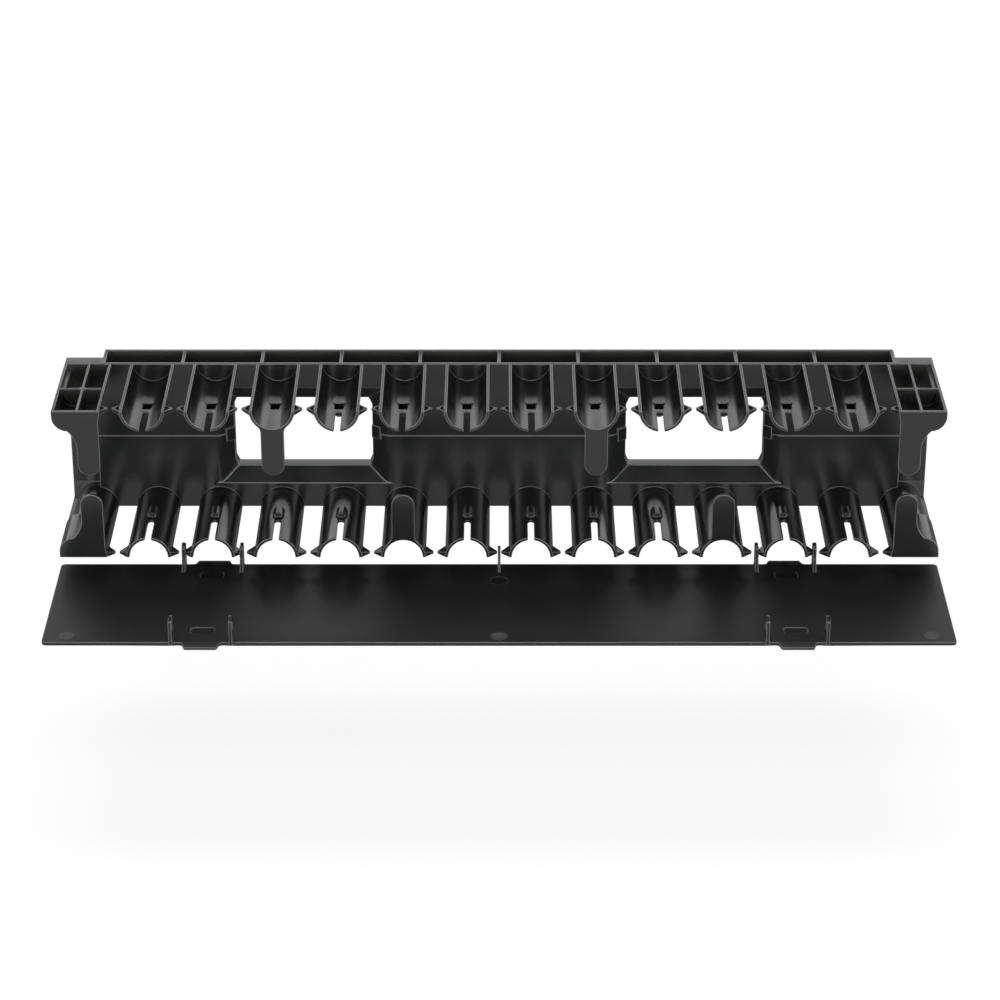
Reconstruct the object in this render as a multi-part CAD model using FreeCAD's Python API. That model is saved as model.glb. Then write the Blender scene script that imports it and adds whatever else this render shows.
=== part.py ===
import FreeCAD, Part
import os
from math import cos, pi, sin, sqrt
os.makedirs("parts", exist_ok=True)

V = FreeCAD.Vector

# ---- frame: X right, Y to the rear (the fingers point to -Y), Z up.
# The origin is the centre of the rack-mounting plane, the rear face of the two rack ears.

# ---- overall sizes, mm
panel_width = 482.6            # 19-inch rack panel
panel_height = 88.1            # two rack units
seam_gap = 0.02                # each half stops this far from the middle
positions = 14                 # finger places in a row, the two outermost are the end blocks
end_place_from_edge = 13.8     # panel edge to the middle of an end block's half pipe

# ---- wall and rear trough; how far each stops short of the panel's edge
wall_front = -9.0
wall_thickness = 2.2
wall_from_edge = 15.9
trough_from_edge = 20.4
trough_rear = 11.4
trough_depth = 12.0            # how far the trough reaches in from the rim
trough_wall = 2.0
trough_pockets = 10

# ---- rack ears
ear_plate_front = -2.2
slot_from_edge = 8.75          # leaves the 465.1 mm rack hole spacing
slot_z = 22.225                # half of the 44.45 mm spacing
slot_width = 6.8
slot_length = 10.0

# ---- half-pipe fingers
tip_y = -73.2
pipe_outer_r = 12.25
pipe_wall = 1.7
tie_slot_width = 3.4
tie_slot_length = 22.0
tie_slot_corner = 1.1

# ---- pocket behind each tie slot, which catches a tie's end; its floor bulges out of the crown
pocket_half_width = 2.3
pocket_start = 26.0            # from the tip to the pocket's near end
pocket_length = 8.2
pocket_skin = 0.7
pocket_sides = 5               # flats that make up the half-round floor
bulge_centre_drop = 0.2        # bulge's axis, inside the pipe's outer surface
flare_half_width = 5.2         # shallow flanks each side of the pocket, at its rear end
flare_drop = 0.55              # how deep the flanks cut below the channel's floor

# ---- side horns at the finger tips; the cover clips on them
horn_base_length = 9.4
horn_base_height = 3.2
horn_base_sink = 0.9           # how far the base reaches into the pipe's wall
horn_tip_length = 1.5
horn_tip_height = 1.3
horn_reach = 16.4              # from the finger's middle to the horn's point
horn_centre = 4.93             # from the finger tip back to the horn's point
horn_axis_inset = 0.78         # from the rim plane in to the horn's point
horn_pocket_wall = 0.9
horn_pocket_depth = 1.6
horn_pocket_end = 1.9          # solid length left at the point

# ---- retaining tabs
tab_width = 12.6
tab_end = 5.9                  # height above the middle where a tab stops
tab_thickness = 2.0
tab_fillet_r = 5.0
tab_places_inner = (4, 9)      # finger places with a tab, besides the two end blocks

# ---- end blocks; their front plate is given as (from the panel's edge, below the rim)
end_tab_inner_from_edge = 25.2
end_tab_outer_from_edge = 12.9
shoulder_points = ((0.95, 5.35), (3.8, 9.15), (9.7, 13.75))
neck_below_rim = 21.05
inner_shoulder_below_rim = (3.05, 6.05)
end_wall = 1.6
end_rib = 1.4
end_boss_r = 2.0
end_mid_y = -42.4              # cross rib, and the step in the outer shoulder
end_shoulder_r = 8.5
end_shoulder_depth = 12.0
end_rear_skirt = 3.4

# ---- windows through the wall, between two finger places
window_inner_place = 9
window_outer_place = 12
window_inner_offset = 10.4     # window's inner side, outside its finger place
window_outer_offset = 0.8      # window's outer side, inside its finger place
window_below_rim = 14.65
throat_inset_inner = 8.3
throat_inset_outer = 8.0
throat_inset_height = 8.5
throat_corner_width = 1.9      # cut across the corners of the throat
throat_corner_height = 4.2
window_corner_share = 0.4      # the same cut at the window's mouth, as a share of the throat's
mouth_round = ((0.0, 2.33), (0.36, 0.6), (1.4, 0.0))   # rounded sides: depth in, extra width
throat_front = -3.0
lip_rear = 5.0
funnel_wall = 2.0
tongue_reach = 4.6             # tongues that reach past the seam on a window's side
tongue_root = 3.2
tongue_thickness = 1.0
tongue_start = 0.4             # part of the way in from the mouth

# ---- cover, in the open pose: flat, in front of and below the lower row
cover_overhang = 0.4           # cover's end past the panel's edge
cover_thickness = 2.1
cover_edge_past_pin = 2.3      # from the hinge axis to the cover's long edge, along the plate
pin_above_cover = 8.33
arm_inner_face = 14.9          # from the hinge's middle to the near face of an arm
arm_thickness = 2.0
arm_root = 11.6
arm_past_edge = 0.9
arm_tip_above_pin = 5.2
arm_shoulder_above_pin = 2.0
arm_chest = 4.3
arm_corner = 1.2
seat_r = 2.5
seat_groove = 4.2              # lead-in for a horn, down the inner face from the arm's tip
seat_skin = 0.35               # what the lead-in leaves of the arm
hinge_places = (3, 12)
cover_corner_r = 2.5
pull_base = 19.0
pull_end = 17.2
pull_length = 5.0
pull_fillet_r = 2.0
pull_slope = 0.5
latch_length = 12.6
latch_width = 7.2
latch_depth = 1.0
latch_corner = 1.4
latch_from_edge = 9.6
blade_thickness = 1.5
blade_height = 11.8
blade_root = 10.5
blade_top = 4.0
dimple_r_far = 4.9
dimple_from_edge_far = 20.0
dimple_r_near = 4.5
dimple_from_edge_near = 7.0
dimple_depth = 0.8

over = 1.0                     # how far a cutting shape reaches past what it cuts
bite = 0.4                     # how far one joined piece reaches into the next

half_w = panel_width / 2
rim = panel_height / 2
end_x = half_w - end_place_from_edge
finger_pitch = 2 * end_x / (positions - 1)
wall_half_width = half_w - wall_from_edge
trough_half_width = half_w - trough_from_edge
pipe_inner_r = pipe_outer_r - pipe_wall
pin_y = tip_y + horn_centre
pin_z = rim - horn_axis_inset


def place_x(number):
    return (number - (positions + 1) / 2) * finger_pitch


window_inner = place_x(window_inner_place) + window_inner_offset
window_outer = place_x(window_outer_place) - window_outer_offset
window_half_height = rim - window_below_rim
throat_inner = window_inner + throat_inset_inner
throat_outer = window_outer - throat_inset_outer
throat_half_height = window_half_height - throat_inset_height


def box(x0, x1, y0, y1, z0, z1):
    return Part.makeBox(x1 - x0, y1 - y0, z1 - z0, V(x0, y0, z0))


def rod(radius, y0, y1, x, z):
    return Part.makeCylinder(radius, y1 - y0, V(x, y0, z), V(0, 1, 0))


def post(radius, z0, z1, x, y):
    return Part.makeCylinder(radius, z1 - z0, V(x, y, z0))


def prism(points, direction):
    wire = Part.makePolygon(points + [points[0]])
    return Part.Face(wire).extrude(direction)


def frustum(near, far):
    """Solid with flat faces between two outlines that list the same number of corners."""
    faces = [Part.Face(Part.makePolygon(near + [near[0]])), Part.Face(Part.makePolygon(far + [far[0]]))]
    for i in range(len(near)):
        j = (i + 1) % len(near)
        faces.append(Part.Face(Part.makePolygon([near[i], near[j], far[j], far[i], near[i]])))
    solid = Part.makeSolid(Part.makeShell(faces))
    if solid.Volume < 0:
        solid.reverse()
    return solid


def both_sides(shape):
    return shape.mirror(V(0, 0, 0), V(1, 0, 0))


def join(shapes):
    return shapes[0].multiFuse(shapes[1:]).removeSplitter()


# ---------------------------------------------------------------- fingers
def lower_half(shape, x):
    """Keep what lies below the rim plane, around one finger."""
    return shape.common(box(x - finger_pitch, x + finger_pitch, tip_y - over, 0, 0, rim))


def pipe_body(x):
    """Outer half of a pipe, from the tip to the wall."""
    return lower_half(rod(pipe_outer_r, tip_y, wall_front + bite, x, rim), x)


def channel(x):
    return rod(pipe_inner_r, tip_y - over, wall_front, x, rim)


def horn(x, side):
    """Side horn: a wedge that narrows to a blunt point, open at the rim like a small cup."""
    middle = tip_y + horn_centre

    def frame(px, length, z0, z1):
        y0 = middle - length / 2
        y1 = middle + length / 2
        return [V(px, y0, z0), V(px, y1, z0), V(px, y1, z1), V(px, y0, z1)]
    base_x = x + side * (pipe_outer_r - horn_base_sink)
    point_x = x + side * horn_reach
    tip0 = pin_z - horn_tip_height / 2
    outer = frame(base_x, horn_base_length, rim - horn_base_height, rim)
    point = frame(point_x, horn_tip_length, tip0, tip0 + horn_tip_height)
    wedge = frustum(outer, point)
    t = horn_pocket_wall
    floor = rim - horn_pocket_depth
    a = frame(x + side * pipe_outer_r, horn_base_length - 2.6 * t, floor, rim + over)
    b = frame(x + side * (horn_reach - horn_pocket_end), t, floor, rim + over)
    return wedge.cut(frustum(a, b))


def half_round(radius, y0, y1, x, z, top):
    """Trench shape along Y: a half-round floor made of flats, with straight sides up to top."""
    points = [V(x + radius, y0, top)]
    for i in range(pocket_sides + 1):
        angle = -pi * i / pocket_sides
        points.append(V(x + radius * cos(angle), y0, z + radius * sin(angle)))
    points.append(V(x - radius, y0, top))
    return prism(points, V(0, y1 - y0, 0))


def crown_bulge(x):
    """Half-round bulge on the outside of the crown, which keeps a skin round the pocket."""
    y0 = tip_y + pocket_start - pocket_skin
    y1 = tip_y + pocket_start + pocket_length + pocket_skin
    z = rim - pipe_outer_r + bulge_centre_drop
    return half_round(pocket_half_width + pocket_skin, y0, y1, x, z, z + pipe_wall / 2)


def tie_pocket(x):
    """Pocket in the channel's floor: a round-bottomed trench between two shallow flanks."""
    y0 = tip_y + pocket_start
    y1 = y0 + pocket_length
    w = pocket_half_width
    trench = half_round(w, y0, y1, x, rim - pipe_outer_r + bulge_centre_drop, rim - pipe_inner_r / 2)
    f = flare_half_width
    bottom = rim - pipe_inner_r - flare_drop
    high = rim - sqrt(pipe_inner_r ** 2 - f ** 2)
    lift = high - bottom
    rear = [V(x - f - lift, y1, high + lift), V(x - w, y1, bottom), V(x + w, y1, bottom),
            V(x + f + lift, y1, high + lift)]
    front = [V(x - w - lift, y0, high + lift), V(x - w, y0, bottom + lift / 2),
             V(x + w, y0, bottom + lift / 2), V(x + w + lift, y0, high + lift)]
    return [trench, Part.makeLoft([Part.makePolygon(front + [front[0]]),
                                   Part.makePolygon(rear + [rear[0]])], True, True)]


def tie_slot(x):
    """Slot from the tip, its blind end cut across at the corners."""
    h = tie_slot_width / 2
    end = tip_y + tie_slot_length
    low = rim - pipe_outer_r - over
    c = tie_slot_corner
    plan = [V(x - h, tip_y - over, low), V(x - h, end - c, low), V(x - h + c, end, low),
            V(x + h - c, end, low), V(x + h, end - c, low), V(x + h, tip_y - over, low)]
    return prism(plan, V(0, 0, pipe_outer_r / 2))


def finger_tab(x):
    """Flat tab hanging from the crown of a finger at its tip, with a rounded end."""
    w = tab_width / 2
    r = tab_fillet_r
    cz = rim - sqrt((pipe_outer_r + r) ** 2 - (w + r) ** 2)
    k = pipe_outer_r / (pipe_outer_r + r)
    on_pipe = V(x + (w + r) * k, tip_y, rim + (cz - rim) * k)
    arc_mid = V(x + w + r - r * 0.766, tip_y, cz + r * 0.643)
    side = V(x + w, tip_y, cz)
    low = V(x + w, tip_y, tab_end + w)

    def flip(p):
        return V(2 * x - p.x, p.y, p.z)
    crown = V(x, tip_y, rim - pipe_inner_r - pipe_wall / 2)
    edges = [
        Part.Arc(on_pipe, arc_mid, side).toShape(),
        Part.makeLine(side, low),
        Part.Arc(low, V(x, tip_y, tab_end), flip(low)).toShape(),
        Part.makeLine(flip(low), flip(side)),
        Part.Arc(flip(side), flip(arc_mid), flip(on_pipe)).toShape(),
        Part.makeLine(flip(on_pipe), crown),
        Part.makeLine(crown, on_pipe),
    ]
    return Part.Face(Part.Wire(edges)).extrude(V(0, tab_thickness, 0))


# ---------------------------------------------------------------- end blocks (built at the right)
def block_section(inset, depth, y0, y1):
    """Half-pipe section run out to the panel's edge, shrunk inwards by a wall thickness."""
    edge = half_w - inset
    low = rim - depth + inset
    corner = min(end_shoulder_r - inset, depth - 1.2 * inset)
    slab = box(end_x, edge, y0, y1, low, rim)
    if corner < depth - inset:
        slab = slab.makeFillet(corner, [
            e for e in slab.Edges if e.BoundBox.YLength > 1
            and abs(e.BoundBox.XMax - edge) < 0.01 and abs(e.BoundBox.ZMax - low) < 0.01])
    return slab.fuse(lower_half(rod(pipe_outer_r - inset, y0, y1, end_x, rim), end_x))


def end_shield():
    """Front plate of an end block: its shoulder curves in to a tab like the others."""
    r = pipe_outer_r
    inner = half_w - end_tab_inner_from_edge
    outer = half_w - end_tab_outer_from_edge
    mid = (inner + outer) / 2
    low = tab_end + (outer - inner) / 2

    def p(px, pz):
        return V(px, tip_y, pz)
    a, b, c = [p(half_w - from_edge, rim - below) for from_edge, below in shoulder_points]
    upper_in, lower_in = [rim - below for below in inner_shoulder_below_rim]
    edges = [
        Part.makeLine(p(end_x - r, rim), p(half_w, rim)),
        Part.Arc(p(half_w, rim), a, b).toShape(),
        Part.Arc(b, c, p(outer, rim - neck_below_rim)).toShape(),
        Part.makeLine(p(outer, rim - neck_below_rim), p(outer, low)),
        Part.Arc(p(outer, low), p(mid, tab_end), p(inner, low)).toShape(),
        Part.makeLine(p(inner, low), p(inner, lower_in)),
        Part.Arc(p(inner, lower_in), p(end_x - r + 0.25, upper_in), p(end_x - r, rim)).toShape(),
    ]
    return Part.Face(Part.Wire(edges)).extrude(V(0, tab_thickness, 0))


def end_block():
    front = block_section(0, end_shoulder_depth, tip_y, end_mid_y)
    rear = block_section(0, end_rear_skirt, end_mid_y, 0.0)
    body = join([front, rear, pipe_body(end_x), end_shield(), horn(end_x, -1)])
    body = body.common(box(0, half_w, tip_y - over, over, 0, rim))
    # four cells, open at the rim
    t = end_wall
    half_rib = end_rib / 2
    hollow_front = block_section(t, end_shoulder_depth, tip_y + tab_thickness, end_mid_y - half_rib)
    hollow_rear = block_section(t, end_rear_skirt + t, end_mid_y + half_rib, wall_front)
    rib = box(end_x - half_rib, end_x + half_rib, tip_y, wall_front, 0, rim)
    keep = rib.fuse(post(end_boss_r, 0, rim, end_x, end_mid_y))
    return body.cut(hollow_front.cut(keep)).cut(hollow_rear.cut(keep))


# ---------------------------------------------------------------- wall, trough, windows, ears
def opening_outline(y, grow=0.0, ease=0.0):
    """Window outline at a depth: it narrows from the mouth to the throat, its corners cut across."""
    inward = min(max(y - wall_front, 0.0) / (throat_front - wall_front), 1.0)
    x0 = window_inner + inward * throat_inset_inner - grow - ease
    x1 = window_outer - inward * throat_inset_outer + grow + ease
    h = window_half_height - inward * throat_inset_height + grow
    share = window_corner_share + inward * (1 - window_corner_share)
    a = throat_corner_width * share
    b = throat_corner_height * share
    return [V(x0 + a, y, -h), V(x1 - a, y, -h), V(x1, y, -h + b), V(x1, y, h - b),
            V(x1 - a, y, h), V(x0 + a, y, h), V(x0, y, h - b), V(x0, y, -h + b)]


def extruded(outline, depth):
    return Part.Face(Part.makePolygon(outline + [outline[0]])).extrude(V(0, depth, 0))


def window_solids():
    """The funnel round one window and the opening through it (the window at the right)."""
    t = funnel_wall
    outer = frustum(opening_outline(wall_front, t), opening_outline(throat_front, t))
    lip = extruded(opening_outline(throat_front, t), lip_rear - throat_front)
    opening = [frustum(opening_outline(wall_front), opening_outline(throat_front)),
               extruded(opening_outline(throat_front), lip_rear - throat_front + over)]
    for (depth0, ease0), (depth1, ease1) in zip(mouth_round, mouth_round[1:]):
        opening.append(frustum(opening_outline(wall_front + depth0, 0.0, ease0),
                               opening_outline(wall_front + depth1, 0.0, ease1)))
    return outer.fuse(lip), opening[0].multiFuse(opening[1:])


def seam_tongue(mouth_x, throat_x):
    """Thin tongue on a window's sloping side: it reaches past the seam over the other half."""
    run = V(throat_x - mouth_x, throat_front - wall_front, 0)
    start = V(mouth_x, wall_front, 0) + run * tongue_start
    run = run * (1 - tongue_start)
    out = V(run.y, -run.x, 0).normalize()

    def slab(back, front, z0, z1):
        foot = [start + out * back, start + run + out * back, start + run + out * front,
                start + out * front]
        return prism([V(p.x, p.y, z0) for p in foot], V(0, 0, z1 - z0))
    free = slab(seam_gap, tongue_thickness, -tongue_reach, tongue_root)
    return free.fuse(slab(-bite, tongue_thickness, seam_gap, tongue_root))


def ear_slot(x, z):
    reach = (slot_length - slot_width) / 2
    y0 = ear_plate_front - over
    parts = [rod(slot_width / 2, y0, over, x - reach, z), rod(slot_width / 2, y0, over, x + reach, z),
             box(x - reach, x + reach, y0, over, z - slot_width / 2, z + slot_width / 2)]
    return parts[0].multiFuse(parts[1:])


def half_moulding():
    """The upper half of the base; the lower half is the same moulding turned half round."""
    z0 = seam_gap
    wall = box(-wall_half_width, wall_half_width, wall_front, wall_front + wall_thickness, z0, rim)
    trough = box(-trough_half_width, trough_half_width, wall_front + bite, trough_rear,
                 rim - trough_depth, rim)
    solids = [wall, trough]
    step_inner = wall_half_width - wall_thickness
    ear = box(step_inner, half_w, ear_plate_front, 0, z0, rim)
    step = box(step_inner, wall_half_width, wall_front, 0, z0, rim)
    funnel, opening = window_solids()
    funnel = funnel.common(box(0, half_w, wall_front, lip_rear, z0, rim))
    for piece in (ear, step, funnel, end_block()):
        solids += [piece, both_sides(piece)]

    slot_x = half_w - slot_from_edge
    cuts = [opening, both_sides(opening), ear_slot(slot_x, slot_z), ear_slot(-slot_x, slot_z)]
    for number in range(2, positions):
        x = place_x(number)
        solids += [pipe_body(x), crown_bulge(x), horn(x, 1), horn(x, -1)]
        cuts += [channel(x)] + tie_pocket(x)
        if number in tab_places_inner:
            solids.append(finger_tab(x))
        else:
            cuts.append(tie_slot(x))
    base = join(solids)

    # trough pockets
    wide = (2 * trough_half_width - trough_wall * (trough_pockets + 1)) / trough_pockets
    for n in range(trough_pockets):
        x0 = -trough_half_width + trough_wall + n * (wide + trough_wall)
        cuts.append(box(x0, x0 + wide, wall_front + wall_thickness, trough_rear - trough_wall,
                        rim - trough_depth + trough_wall, rim + over))
    base = base.cut(Part.makeCompound(cuts))
    return join([base, seam_tongue(-window_outer, -throat_outer), seam_tongue(window_inner, throat_inner)])


# ---------------------------------------------------------------- cover
def hinge_arm(x, side, edge, inward, top):
    """One clip arm; edge is the plate's long edge, inward the direction along Y into the plate."""
    x0 = min(x + side * arm_inner_face, x + side * (arm_inner_face + arm_thickness))
    out = edge - inward * arm_past_edge
    root = edge + inward * (arm_root - arm_past_edge)
    axis = edge + inward * cover_edge_past_pin
    pin = top + pin_above_cover
    tip = pin + arm_tip_above_pin
    chest = axis + inward * arm_chest
    low = top - cover_thickness + bite
    k = arm_corner
    pts = [V(x0, out, low), V(x0, out, tip - k), V(x0, out + inward * k, tip),
           V(x0, chest - inward * k, tip), V(x0, chest, tip - k),
           V(x0, chest, pin - arm_shoulder_above_pin), V(x0, root - inward * k, top + k),
           V(x0, root, top - bite), V(x0, edge, low)]
    arm = prism(pts, V(arm_thickness, 0, 0))
    hole = Part.makeCylinder(seat_r, arm_thickness + 2 * over, V(x0 - over, axis, pin), V(1, 0, 0))
    skin0 = x0 if side < 0 else x0 + arm_thickness - seat_skin
    groove = box(x0 - over, x0 + arm_thickness + over, axis - seat_groove / 2, axis + seat_groove / 2,
                 pin, tip + over)
    skin = box(skin0, skin0 + seat_skin, axis - seat_groove, axis + seat_groove, pin, tip + 2 * over)
    return arm.cut(hole.fuse(groove.cut(skin)))


def pull_tab(x, edge, outward, top):
    """Pull tab on a long edge, with hollow corners and a top that slopes down to its end."""
    a = pull_base / 2
    b = pull_end / 2
    f = pull_fillet_r
    y_in = edge - outward * over
    y_f = edge + outward * f
    y_out = edge + outward * pull_length
    k = f * (1 - sqrt(0.5))

    def hollow(s):
        return Part.Arc(V(x + s * (a + f), edge, top), V(x + s * (a + k), edge + outward * k, top),
                        V(x + s * a, y_f, top)).toShape()

    def line(x0, y0, x1, y1):
        return Part.makeLine(V(x0, y0, top), V(x1, y1, top))
    edges = [hollow(-1), line(x - a, y_f, x - b, y_out), line(x - b, y_out, x + b, y_out),
             line(x + b, y_out, x + a, y_f), hollow(1), line(x + a + f, edge, x + a + f, y_in),
             line(x + a + f, y_in, x - a - f, y_in), line(x - a - f, y_in, x - a - f, edge)]
    tab = Part.Face(Part.Wire(Part.__sortEdges__(edges))).extrude(V(0, 0, -cover_thickness))
    slope = [V(x - pull_base, edge, top), V(x - pull_base, y_out + outward * over, top - pull_slope),
             V(x - pull_base, y_out + outward * over, top + over), V(x - pull_base, edge, top + over)]
    return tab.cut(prism(slope, V(2 * pull_base, 0, 0)))


def latch_recess(x, edge, inward, top):
    """Shallow blind recess: deepest at its inner side, it runs out towards the cover's edge."""
    a = latch_length / 2
    y0 = edge + inward * latch_from_edge
    y1 = y0 + inward * latch_width
    wedge = prism([V(x - a, y0, top), V(x - a, y1, top - latch_depth), V(x - a, y1, top + over),
                   V(x - a, y0, top + over)], V(latch_length, 0, 0))
    c = latch_corner
    plan = [V(x - a + c, y0, top - 2 * over), V(x + a - c, y0, top - 2 * over),
            V(x + a, y0 + inward * c, top - 2 * over), V(x + a, y1 - inward * c, top - 2 * over),
            V(x + a - c, y1, top - 2 * over), V(x - a + c, y1, top - 2 * over),
            V(x - a, y1 - inward * c, top - 2 * over), V(x - a, y0 + inward * c, top - 2 * over)]
    return wedge.common(prism(plan, V(0, 0, 4 * over)))


def dimple(radius, y, top):
    """Round hollow, part of a large ball."""
    ball = (radius ** 2 + dimple_depth ** 2) / (2 * dimple_depth)
    return Part.makeSphere(ball, V(0, y, top - dimple_depth + ball)).common(
        post(radius + over, top - 2 * dimple_depth, top + dimple_depth, 0, y))


def cover_moulding():
    top = -pin_z - pin_above_cover
    far = pin_y + cover_edge_past_pin
    near = far - 2 * pin_z - 2 * cover_edge_past_pin
    w = half_w + cover_overhang
    plate = box(-w, w, near, far, top - cover_thickness, top)
    plate = plate.makeFillet(cover_corner_r, [e for e in plate.Edges if e.BoundBox.ZLength > 1])
    solids = [plate]
    cuts = []
    for number in hinge_places:
        x = place_x(number)
        for edge, inward in ((far, -1), (near, 1)):
            solids.append(pull_tab(x, edge, -inward, top))
            cuts.append(latch_recess(x, edge, inward, top))
            for side in (-1, 1):
                solids.append(hinge_arm(x, side, edge, inward, top))
    # locating blade in the middle of the far edge
    z1 = top + blade_height
    x0 = -blade_thickness / 2
    blade = prism([V(x0, far, top - bite), V(x0, far, z1 - over), V(x0, far - over, z1),
                   V(x0, far - blade_top - over, z1), V(x0, far - blade_top - 2 * over, z1 - over),
                   V(x0, far - blade_root, top - bite)], V(blade_thickness, 0, 0))
    solids.append(blade)
    cuts.append(dimple(dimple_r_far, far - dimple_from_edge_far, top))
    cuts.append(dimple(dimple_r_near, near + dimple_from_edge_near, top))
    return join(solids).cut(Part.makeCompound(cuts)).removeSplitter()


upper = half_moulding()
lower = upper.copy()
lower.rotate(V(0, 0, 0), V(0, 1, 0), 180)
cover = cover_moulding()
for name, shape in (("base_upper", upper), ("base_lower", lower), ("cover", cover)):
    print(name, shape.isValid(), len(shape.Solids), round(shape.Volume / 1000, 1), "cm3", shape.BoundBox)
    shape.exportStep("parts/" + name + ".step")
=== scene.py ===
import math

import bmesh
import bpy
from mathutils.bvhtree import BVHTree
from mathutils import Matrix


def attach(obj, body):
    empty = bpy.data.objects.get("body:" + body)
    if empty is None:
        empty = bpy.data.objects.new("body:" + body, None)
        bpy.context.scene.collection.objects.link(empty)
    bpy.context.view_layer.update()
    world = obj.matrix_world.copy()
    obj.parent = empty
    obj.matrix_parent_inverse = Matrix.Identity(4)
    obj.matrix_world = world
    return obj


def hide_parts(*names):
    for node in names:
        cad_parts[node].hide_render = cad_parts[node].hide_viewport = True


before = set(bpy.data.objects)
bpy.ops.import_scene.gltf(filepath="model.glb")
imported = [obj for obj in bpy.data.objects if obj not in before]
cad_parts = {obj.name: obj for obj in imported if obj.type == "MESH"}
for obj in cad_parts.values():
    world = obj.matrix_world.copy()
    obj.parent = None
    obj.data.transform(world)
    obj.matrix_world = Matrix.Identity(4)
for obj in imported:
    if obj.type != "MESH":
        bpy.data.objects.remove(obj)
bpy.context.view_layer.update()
MM = 0.001
print("nodes:", sorted(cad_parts))

# %% [markdown]
# ## Writing shader maths as Python
# A material is a graph of nodes. Wiring it by hand hides the formula, so a small class wraps one output
# socket and turns Python's operators into Math nodes. A second helper adds every other kind of node.
# %% Socket class and material class


class Value:
    """One output socket that can be added, multiplied and so on."""

    def __init__(self, paint, socket):
        self.paint = paint
        self.socket = socket

    def _math(self, operation, first, second=None):
        inputs = {0: first}
        if second is not None:
            inputs[1] = second
        return self.paint.node("ShaderNodeMath", {"operation": operation}, inputs)

    def __add__(self, other):
        return self._math("ADD", self, other)

    def __sub__(self, other):
        return self._math("SUBTRACT", self, other)

    def __rsub__(self, other):
        return self._math("SUBTRACT", other, self)

    def __mul__(self, other):
        return self._math("MULTIPLY", self, other)

    def __truediv__(self, other):
        return self._math("DIVIDE", self, other)

    def __rtruediv__(self, other):
        return self._math("DIVIDE", other, self)

    __radd__ = __add__
    __rmul__ = __mul__

    def __abs__(self):
        return self._math("ABSOLUTE", self)

    def root(self):
        return self._math("SQRT", self)

    def larger(self, other):
        return self._math("MAXIMUM", self, other)

    def clipped(self):
        """The value kept between 0 and 1."""
        return self._math("MINIMUM", self.larger(0.0), 1.0)

    def step(self, start, end):
        """0 below start, 1 above end and a smooth slope between them."""
        settings = {"interpolation_type": "SMOOTHSTEP"}
        inputs = {"Value": self, "From Min": start, "From Max": end}
        return self.paint.node("ShaderNodeMapRange", settings, inputs)

    def band(self, start, end, blur):
        """1 between start and end and 0 outside, with both borders blurred."""
        return self.step(start - blur, start + blur) - self.step(end - blur, end + blur)


class Paint:
    """A material or world under construction."""

    def __init__(self, owner):
        owner.use_nodes = True
        self.owner = owner
        self.tree = owner.node_tree
        self.tree.nodes.clear()

    def node(self, kind, settings=None, inputs=None, output=0):
        made = self.tree.nodes.new(kind)
        for name, value in (settings or {}).items():
            setattr(made, name, value)
        for name, value in (inputs or {}).items():
            self.connect(value, made.inputs[name])
        return Value(self, made.outputs[output])

    def connect(self, value, socket):
        if isinstance(value, Value):
            self.tree.links.new(value.socket, socket)
        else:
            socket.default_value = value

    def colour_mix(self, factor, first, second):
        inputs = {"Factor": factor, 6: first, 7: second}
        return self.node("ShaderNodeMix", {"data_type": "RGBA"}, inputs, output=2)

    def axes(self, vector):
        return [self.node("ShaderNodeSeparateXYZ", None, {0: vector}, axis) for axis in range(3)]

    def noise(self, where, scale, detail=2.0, roughness=0.5):
        inputs = {"Vector": where, "Scale": scale, "Detail": detail, "Roughness": roughness}
        return self.node("ShaderNodeTexNoise", None, inputs, output=0)

    def finish(self, shader):
        kinds = {"World": "ShaderNodeOutputWorld"}
        kind = kinds.get(type(self.owner).__name__, "ShaderNodeOutputMaterial")
        end = self.tree.nodes.new(kind)
        self.tree.links.new(shader.socket, end.inputs["Surface"])
        return self.owner


print("shader helpers ready")

# %% [markdown]
# ## Softened edges
# No moulded edge is knife sharp: the tool's own radius, under half a millimetre here, catches the light as
# a thin pale line, and on black plastic these lines draw the whole shape. The solids have sharp edges, so
# each one is copied and bevelled. A Bevel modifier could do it, but bmesh's own bevel also returns the new
# faces. Those are marked for a painted highlight, a paler colour that stands in for the light these edges
# catch, full on outer edges and weaker in an inner corner; the same mark makes them a little smoother.
# Edges flatter than EDGE_ANGLE are only the facets of a curved wall, and stay as they are.
# %% Bevelled copies of the solids
EDGE_RADIUS = 0.40 * MM
EDGE_ANGLE = math.radians(28)
CREASE_ANGLE = math.radians(50)
WELD = 0.002 * MM                # vertices closer than this are one
SLIVER = 0.004 * MM              # faces thinner than this are dropped
STRAY = 0.6                      # share of the radius that a bevelled vertex may lie off the solid
# share of the painted edge highlight, and of the smoother gloss, on outer and inner edges
OUTER_WEAR_AND_HIGHLIGHT = 1.0
INNER_WEAR_AND_HIGHLIGHT = 0.35


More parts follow.
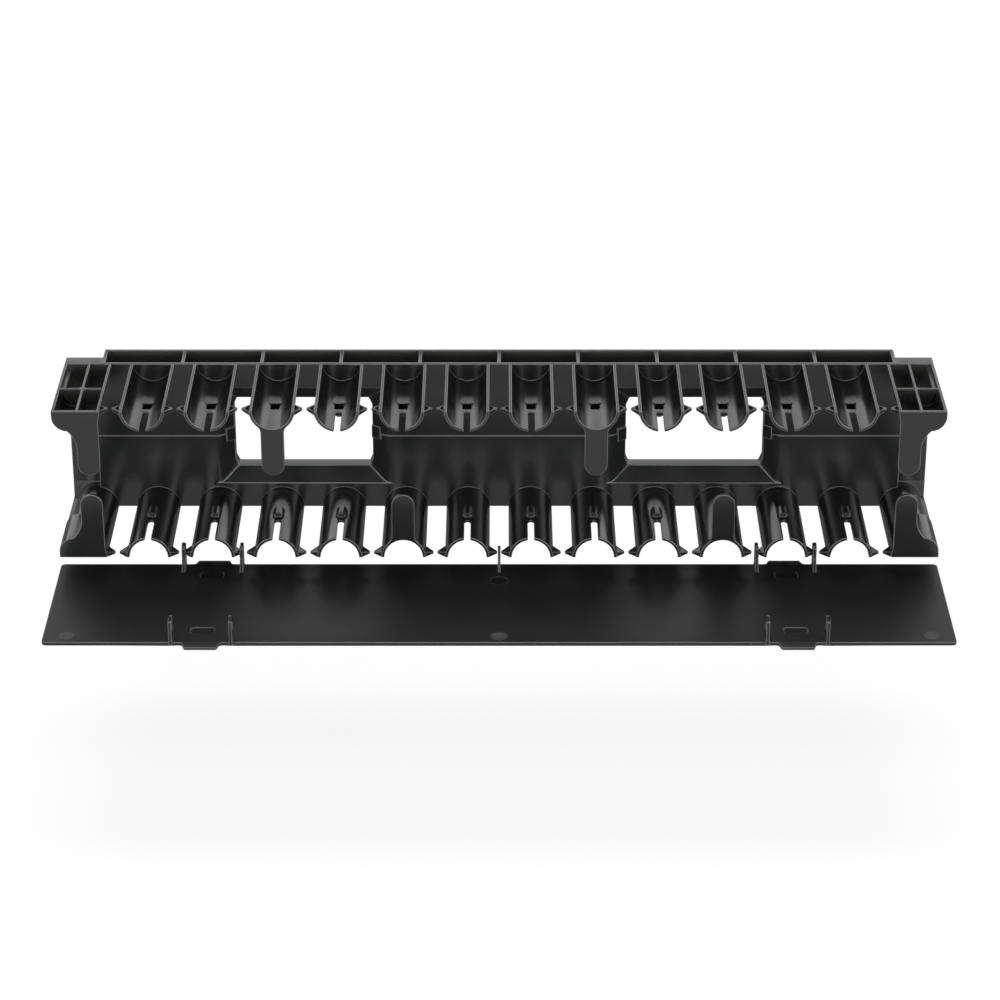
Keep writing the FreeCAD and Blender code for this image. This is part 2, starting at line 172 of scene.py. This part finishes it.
def soften(node_name, radius, segments=2):
    """A copy of a solid with its edges rounded to the given radius, in metres."""
    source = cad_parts[node_name]
    mesh = source.data.copy()
    mesh.name = node_name + "_moulded"
    shell = bmesh.new()
    shell.from_mesh(mesh)
    bmesh.ops.remove_doubles(shell, verts=shell.verts, dist=WELD)
    bmesh.ops.dissolve_degenerate(shell, dist=SLIVER, edges=shell.edges)
    # marks the bevel faces for the painted edge highlight and a smoother gloss
    wear_and_highlight_layer = shell.faces.layers.float.new("edge_wear_and_highlight")
    surface = BVHTree.FromBMesh(shell)
    solid_low = [min(v.co[axis] for v in shell.verts) for axis in range(3)]
    solid_high = [max(v.co[axis] for v in shell.verts) for axis in range(3)]
    sharp = [e for e in shell.edges if len(e.link_faces) == 2 and e.calc_face_angle(0.0) > EDGE_ANGLE]
    made = bmesh.ops.bevel(shell, geom=sharp, offset=radius, offset_type="OFFSET", segments=segments,
                           profile=0.5, affect="EDGES", clamp_overlap=False, miter_outer="SHARP",
                           loop_slide=False)
    for face in made["faces"]:
        centre = face.calc_center_median()
        nearest, normal, index, distance = surface.find_nearest(centre)
        outward = normal.dot(centre - nearest) < 0.0
        face[wear_and_highlight_layer] = OUTER_WEAR_AND_HIGHLIGHT if outward else INNER_WEAR_AND_HIGHLIGHT
    stray = 0
    for vert in shell.verts:
        nearest, normal, index, distance = surface.find_nearest(vert.co)
        if distance > STRAY * radius:
            vert.co = nearest
            stray += 1
        vert.co = [min(max(c, low), high) for c, low, high in zip(vert.co, solid_low, solid_high)]
    for face in shell.faces:
        face.smooth = True
    bmesh.ops.triangulate(shell, faces=shell.faces, quad_method="BEAUTY", ngon_method="BEAUTY")
    shell.to_mesh(mesh)
    shell.free()
    mesh.materials.clear()
    piece = bpy.data.objects.new(node_name + "_moulded", mesh)
    bpy.context.scene.collection.objects.link(piece)
    mesh.set_sharp_from_angle(angle=CREASE_ANGLE)
    smooth = piece.modifiers.new("flat_faces_stay_flat", "WEIGHTED_NORMAL")
    smooth.keep_sharp = True
    print(node_name, "edges rounded:", len(sharp), "triangles:", len(mesh.polygons), "pulled back:", stray)
    return piece


half_upper = soften("base_upper", EDGE_RADIUS)
half_lower = soften("base_lower", EDGE_RADIUS)
cover = soften("cover", EDGE_RADIUS)
for piece, node_name, body, finish in (
    (half_upper, "base_upper", "base", "base_plastic"),
    (half_lower, "base_lower", "base", "base_plastic"),
    (cover, "cover", "cover", "cover_plastic"),
):
    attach(piece, body)
    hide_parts(node_name)

# %% [markdown]
# ## Marked places: moulding marks and painted light
# The walls of the deep pockets are painted paler and made duller: a painted light that lifts their shade.
# The cover has faint round marks where pins pushed it out of the mould, two dimples at its middle and
# sunk recesses beside its pull tabs. The pin marks and the near dimple's floor carry a pale painted sheen,
# the recesses and the far dimple's floor a painted shade, and the dimples' rims a painted highlight. On
# the fingers' crowns the painted edge highlight is left out. Vertex paint or an image could mark them.
# Here each such place is a mask instead: 1 inside, 0 outside, worked out from the distance to the solids'
# own faces.
# %% Places on the base
base_points = [v.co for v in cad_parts["base_upper"].data.vertices]
rim = max(p.z for p in base_points)
base_end = max(p.x for p in base_points)
end_pipe = base_end - 13.8 * MM          # axis of the half pipe in each end block
PIPE_MIDDLE = 11.40 * MM                 # radius half way through the wall of a finger
PIPE_BLUR = 0.1 * MM
TROUGH = (-6.9 * MM, 9.6 * MM)           # the rear trough, from front to back
CELLS = (-71.4 * MM, -8.0 * MM)          # the end blocks' cells, from front to back
END_WALL = (-2.5 * MM, -1.2 * MM)        # the cells' outer wall, from the base's end
POCKET_DEPTH = (0.4 * MM, 13.0 * MM)     # below the rim
POCKET_BLUR = 0.2 * MM
CROWN = (-55.0 * MM, -25.0 * MM)         # the stretch of a finger where its tie pocket bulges out
CROWN_DEPTH = (11.6 * MM, 11.9 * MM)
CROWN_BLUR = 1.0 * MM
print("rim, end and end pipe, mm:", [round(c / MM, 1) for c in (rim, base_end, end_pipe)])


def base_places(x, y, z):
    """Masks on the base: a pale painted light on the deep pockets' walls, and the fingers' crowns, where the
    painted edge highlight is left out.
    """
    depth = rim - abs(z)
    aside = abs(x) - end_pipe
    from_axis = (aside * aside + depth * depth).root()
    in_trough = y.band(*TROUGH, PIPE_BLUR)
    in_pipe = 1.0 - from_axis.step(PIPE_MIDDLE - PIPE_BLUR, PIPE_MIDDLE + PIPE_BLUR)
    end_wall = (abs(x) - base_end).band(*END_WALL, PIPE_BLUR)
    in_cells = in_pipe.larger(end_wall) * y.band(*CELLS, PIPE_BLUR)
    # painted light: the walls of the trough and the end cells are painted paler
    pale = in_trough.larger(in_cells) * depth.band(*POCKET_DEPTH, POCKET_BLUR)
    # no painted edge highlight, and no smoother gloss, on the bulges over the tie pockets
    crown_without_edge_highlight = depth.step(*CROWN_DEPTH) * y.band(*CROWN, CROWN_BLUR)
    return {"pale": pale, "crown_without_edge_highlight": crown_without_edge_highlight}


# %% Places on the cover
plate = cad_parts["cover"].data
END_STRIP = 200.0 * MM                   # beyond this the plate is bare, so its own edges show
end_points = [v.co for v in plate.vertices if abs(v.co.x) > END_STRIP]
plate_end = max(p.x for p in end_points)
plate_near = min(p.y for p in end_points)
plate_far = max(p.y for p in end_points)
plate_top = max(p.z for p in end_points)
tab_points = [abs(v.co.x) for v in plate.vertices if v.co.y < plate_near - 2.0 * MM]
tab_middle = (min(tab_points) + max(tab_points)) / 2
PIN_FROM_END, PIN_FROM_EDGE, PIN_RADIUS = 12.6 * MM, 7.6 * MM, 4.2 * MM
NEAR_DIMPLE_FROM_EDGE, FAR_DIMPLE_FROM_EDGE = 7.0 * MM, 20.0 * MM
NEAR_FLOOR, FAR_FLOOR = 4.1 * MM, 4.5 * MM
NEAR_RIM = (4.2 * MM, 4.7 * MM)
FAR_RIM = (4.6 * MM, 5.1 * MM)
RIM_BLUR = 0.15 * MM
TOP_FACE = (-1.2 * MM, -1.0 * MM)        # from the plate's top, with room for the dimples
RECESS_DEPTH = (0.12 * MM, 1.4 * MM)
RECESS_HALF_WIDTH = (6.4 * MM, 6.7 * MM)
PLATE_MARGIN = 1.5 * MM
print("plate, mm:", [round(c / MM, 1) for c in (plate_end, plate_near, plate_far, plate_top, tab_middle)])


def cover_places(x, y, z):
    """Masks on the cover: a pale painted sheen on the pin marks and the near dimple's floor, a painted shade
    in the recesses and on the far dimple's floor, and a painted highlight on the dimples' rims.
    """
    def distance(along, across):
        aside = abs(x) - along
        ahead = y - across
        return (aside * aside + ahead * ahead).root()

    def disc(away, radius):
        return 1.0 - away.step(radius - 0.4 * MM, radius + 0.2 * MM)

    from_pin = distance(plate_end - PIN_FROM_END, plate_near + PIN_FROM_EDGE)
    from_near_dimple = distance(0.0, plate_near + NEAR_DIMPLE_FROM_EDGE)
    from_far_dimple = distance(0.0, plate_far - FAR_DIMPLE_FROM_EDGE)
    on_top = z.step(plate_top + TOP_FACE[0], plate_top + TOP_FACE[1])
    # painted sheen: the pin marks and the near dimple's floor are painted pale
    marks = disc(from_pin, PIN_RADIUS).larger(disc(from_near_dimple, NEAR_FLOOR))
    # painted highlight along the dimples' rims
    rims = from_near_dimple.band(*NEAR_RIM, RIM_BLUR).larger(from_far_dimple.band(*FAR_RIM, RIM_BLUR))
    sunk = (plate_top - z).band(*RECESS_DEPTH, 0.05 * MM)
    beside_tab = 1.0 - abs(abs(x) - tab_middle).step(*RECESS_HALF_WIDTH)
    inside = y.band(plate_near + PLATE_MARGIN, plate_far - PLATE_MARGIN, 0.2 * MM)
    # painted shade: the recesses beside the tabs and the far dimple's floor are painted dark
    dark = (sunk * beside_tab * inside).larger(disc(from_far_dimple, FAR_FLOOR) * on_top)
    return {"pale": marks * on_top, "dark": dark, "rims": rims * on_top}


print("masks ready")

# %% [markdown]
# ## Black moulded plastic
# The panel is ABS or a similar plastic, black right through, with a satin face. Several things vary over it:
# a spark-eroded grain well under a millimetre, slow cloudy differences in gloss where the melt cooled
# unevenly, a few specks of dust, and edges that are smoother. The grain goes in as bump, the clouds as
# roughness, and the edge mark from the bevel mixes in a paler tone, a painted highlight along the edges.
# The masks mix in painted light, painted shade, painted sheen and painted highlights where marked.
# %% Plastic material
CLOUD_SCALE, GRAIN_SCALE, DUST_SCALE = 38.0, 2600.0, 900.0
DUST_START, DUST_SLOPE, DUST_STRENGTH = 0.66, 9.0, 0.25
CLOUD_GLOSS, GRAIN_GLOSS, WEAR_GLOSS, PALE_GLOSS, DARK_GLOSS = 0.16, 0.06, 0.07, 0.15, 0.30
# how strongly the painted edge highlight mixes in the pale edge colour
EDGE_HIGHLIGHT_COLOUR = 0.8
# strength of the painted highlight on the dimples' rims, which also smooths them
RIM_HIGHLIGHT = 0.6
GRAIN_STRENGTH = 0.5


def black_plastic(name, look, places):
    """Satin black plastic with grain, clouds, dust, and smoother edges that carry a painted highlight.
    places gives the masks of painted light and shade.
    """
    paint = Paint(bpy.data.materials.new(name))
    where = paint.node("ShaderNodeTexCoord", None, None, output=3)
    clouds = paint.noise(where, CLOUD_SCALE, detail=3.0)
    grain = paint.noise(where, GRAIN_SCALE, detail=2.0, roughness=0.6)
    dust = paint.noise(where, DUST_SCALE, detail=4.0, roughness=0.7)
    edge = paint.node("ShaderNodeAttribute", {"attribute_name": "edge_wear_and_highlight"}, None, output=2)
    masks = places(*paint.axes(where))
    specks = ((dust - DUST_START) * DUST_SLOPE).clipped() * DUST_STRENGTH
    # painted highlight on the edges, which also makes them smoother
    wear_and_highlight = (edge * (0.45 + clouds * 0.9)).clipped() * (1.0 - masks["pale"] * 0.5)
    # the painted edge highlight is left out on the finger crowns' bulges
    if "crown_without_edge_highlight" in masks:
        wear_and_highlight = wear_and_highlight * (1.0 - masks["crown_without_edge_highlight"])
    # painted highlight on the dimples' rims
    if "rims" in masks:
        wear_and_highlight = wear_and_highlight.larger(masks["rims"] * RIM_HIGHLIGHT)
    # painted light in the base's deep pockets, painted sheen on the cover's pin marks and near dimple
    body = paint.colour_mix(masks["pale"], look["tone"], look["pale"])
    rough = look["gloss"] + (clouds - 0.5) * CLOUD_GLOSS + (grain - 0.5) * GRAIN_GLOSS
    rough = rough - wear_and_highlight * WEAR_GLOSS + masks["pale"] * PALE_GLOSS
    # painted shade in the cover's recesses and far dimple
    if "dark" in masks:
        body = paint.colour_mix(masks["dark"], body, look["dark"])
        rough = rough + masks["dark"] * DARK_GLOSS
    # the pale edge colour: real specks of dust, and the painted highlight along the edges
    body = paint.colour_mix((specks + wear_and_highlight * EDGE_HIGHLIGHT_COLOUR).clipped(), body, look["edge"])
    bump = paint.node("ShaderNodeBump", None, {
        "Strength": GRAIN_STRENGTH, "Distance": look["grain"], "Height": grain})
    shader = paint.node("ShaderNodeBsdfPrincipled", None, {
        "Base Color": body, "Roughness": rough.clipped(), "Normal": bump, "IOR": look["index"]})
    return paint.finish(shader)


# %% Two blacks
BASE_LOOK = {
    "tone": (0.0110, 0.0115, 0.0121, 1.0),
    # pale: painted light on the deep pockets' walls
    "pale": (0.040, 0.039, 0.036, 1.0),
    # edge: colour of the painted edge highlight, also used for the dust specks
    "edge": (0.17, 0.174, 0.178, 1.0),
    "gloss": 0.18,
    "grain": 0.030 * MM,
    "index": 1.56,
}
COVER_LOOK = {
    "tone": (0.0085, 0.0087, 0.0079, 1.0),
    # pale: painted sheen on the pin marks and the near dimple's floor
    "pale": (0.075, 0.077, 0.077, 1.0),
    # dark: painted shade in the recesses and on the far dimple's floor
    "dark": (0.002, 0.002, 0.002, 1.0),
    # edge: colour of the painted edge and rim highlight, also used for the dust specks
    "edge": (0.16, 0.16, 0.155, 1.0),
    "gloss": 0.42,
    "grain": 0.025 * MM,
    "index": 1.42,
}
base_black = black_plastic("satin_black_base", BASE_LOOK, base_places)
cover_black = black_plastic("satin_black_cover", COVER_LOOK, cover_places)
for piece, finish in ((half_upper, base_black), (half_lower, base_black), (cover, cover_black)):
    piece.data.materials.append(finish)
print("materials:", [m.name for m in bpy.data.materials])

# %% [markdown]
# ## Floor
# The panel is held above a pale sheet of paper. A plain white material would need strong light to look
# white, and that light would wash out the black plastic. So the camera gets its own mix: a glow that only
# it sees, added to a faint matt tone that keeps the object's soft shadow. Glossy rays see a dimmer sheet,
# with a painted shade on it behind the object, so that the fingers' flanks stay dark.
# %% Floor
FLOOR_SIZE = 12.0
FLOOR_Z = -0.150
SHADE_START = (0.0, 0.20)       # painted shade on the sheet behind the object, seen only in reflections
# painted shade: behind the object, reflections lose most of the sheet's glow
SHEEN_AHEAD, SHEEN_LOST = 0.30, 0.27
PAPER_TONE = (0.86, 0.86, 0.86, 1.0)
SHADED_TONE = (0.20, 0.20, 0.20, 1.0)
FAINT_TONE = (0.34, 0.34, 0.34, 1.0)
WHITE = (1.0, 1.0, 1.0, 1.0)
bpy.ops.mesh.primitive_plane_add(size=FLOOR_SIZE, location=(0.0, 0.0, FLOOR_Z))
floor = bpy.context.object
floor.name = "floor"
paper = Paint(bpy.data.materials.new("pale_paper"))
seen = paper.node("ShaderNodeLightPath", None, None, output=0)
mirrored = paper.node("ShaderNodeLightPath", None, None, output=3)
place = paper.node("ShaderNodeTexCoord", None, None, output=3)
behind = paper.axes(place)[1].step(*SHADE_START)
# painted shade: reflections see the sheet darker behind the object
tone = paper.colour_mix(mirrored * behind, PAPER_TONE, SHADED_TONE)
matt = paper.node("ShaderNodeBsdfDiffuse", None, {"Color": tone})
white = paper.node("ShaderNodeEmission", None, {"Color": WHITE, "Strength": 1.0})
# painted shade: less glow in reflections behind the object
sheen = mirrored * (SHEEN_AHEAD - behind * SHEEN_LOST)
sheet = paper.node("ShaderNodeMixShader", None, {0: sheen, 1: matt, 2: white})
faint = paper.node("ShaderNodeBsdfDiffuse", None, {"Color": FAINT_TONE})
glow = paper.node("ShaderNodeEmission", None, {"Color": WHITE, "Strength": 0.80})
to_camera = paper.node("ShaderNodeAddShader", None, {0: faint, 1: glow})
sheet = paper.node("ShaderNodeMixShader", None, {0: seen, 1: sheet, 2: to_camera})
floor.data.materials.append(paper.finish(sheet))
print("floor, mm:", round(FLOOR_Z / MM))

# %% [markdown]
# ## Soft boxes all round
# Black satin plastic shows mostly what it mirrors, so the surroundings matter more than any lamp. The
# light comes from the world itself, as a ring of soft boxes. A direction is sorted twice: by its compass
# side into rear, front or sideways, and by its height above the horizon. Each soft box is then one row of
# a table: bright low in front and at the sides, dim half way up, and bright again high up. To the camera
# the world is plain white.
# %% World
SOFT_BOXES = (
    # side, lowest and highest point in degrees above the horizon, brightness
    ("rear", 3.0, 27.0, 1.25),
    ("rear", 27.0, 48.0, 0.25),
    ("rear", 50.0, 70.0, 3.0),
    ("front", -18.0, 14.0, 5.5),
    ("front", 14.0, 46.0, 0.3),
    ("front", 50.0, 70.0, 1.4),
    ("sideways", -18.0, 9.0, 2.2),
    ("sideways", 9.0, 20.0, 1.2),
)
BOX_BLUR = 0.035                 # half the width of a soft box's border, in sines of its height
SIDE_BORDER = (0.60, 0.80)       # where front and rear give way to sideways, in cosines
FROM_THE_RIGHT = 0.25            # how much brighter the right side is than the middle
UPPER_GLOW, UPPER_GLOW_START = 0.06, (0.05, 0.30)
ZENITH_GUARD = 0.0001            # keeps the compass side defined straight up

world = bpy.data.worlds.new("studio")
bpy.context.scene.world = world
sky = Paint(world)
across, along, height = sky.axes(sky.node("ShaderNodeTexCoord", None, None, output=0))
ahead = along / (across * across + along * along + ZENITH_GUARD).root()
sides = {"rear": ahead.step(*SIDE_BORDER), "front": (ahead * -1.0).step(*SIDE_BORDER)}
sides["sideways"] = (1.0 - sides["rear"] - sides["front"]).clipped() * (1.0 + across * FROM_THE_RIGHT)
light = height.step(*UPPER_GLOW_START) * UPPER_GLOW
for side, lowest, highest, brightness in SOFT_BOXES:
    box = height.band(math.sin(math.radians(lowest)), math.sin(math.radians(highest)), BOX_BLUR)
    light = light + sides[side] * box * brightness
camera_ray = sky.node("ShaderNodeLightPath", None, None, output=0)
tone = sky.colour_mix(camera_ray, light, WHITE)
sky.finish(sky.node("ShaderNodeBackground", None, {"Color": tone, "Strength": 1.0}))
print("soft boxes:", len(SOFT_BOXES))

# %% [markdown]
# ## Camera
# The camera looks down on the object from the front, far away with a long lens, so that the panel's long
# lines stay almost parallel. Its place was worked out from the panel's known width and height.
# %% Camera
SENSOR = 36.0
LENS = 119.0
CAMERA_PLACE = (0.00047, -1.6925, 0.7781)
CAMERA_TILT = 25.92              # degrees below the horizon
camera_data = bpy.data.cameras.new("camera")
camera_data.sensor_width = SENSOR
camera_data.lens = LENS
camera_data.clip_start = 0.05
camera = bpy.data.objects.new("camera", camera_data)
bpy.context.scene.collection.objects.link(camera)
camera.location = CAMERA_PLACE
camera.rotation_euler = (math.radians(90.0 - CAMERA_TILT), 0.0, 0.0)
bpy.context.scene.camera = camera
bpy.context.scene.view_settings.view_transform = "Standard"
print("view, degrees wide:", round(math.degrees(2.0 * math.atan(SENSOR / 2.0 / LENS)), 1))
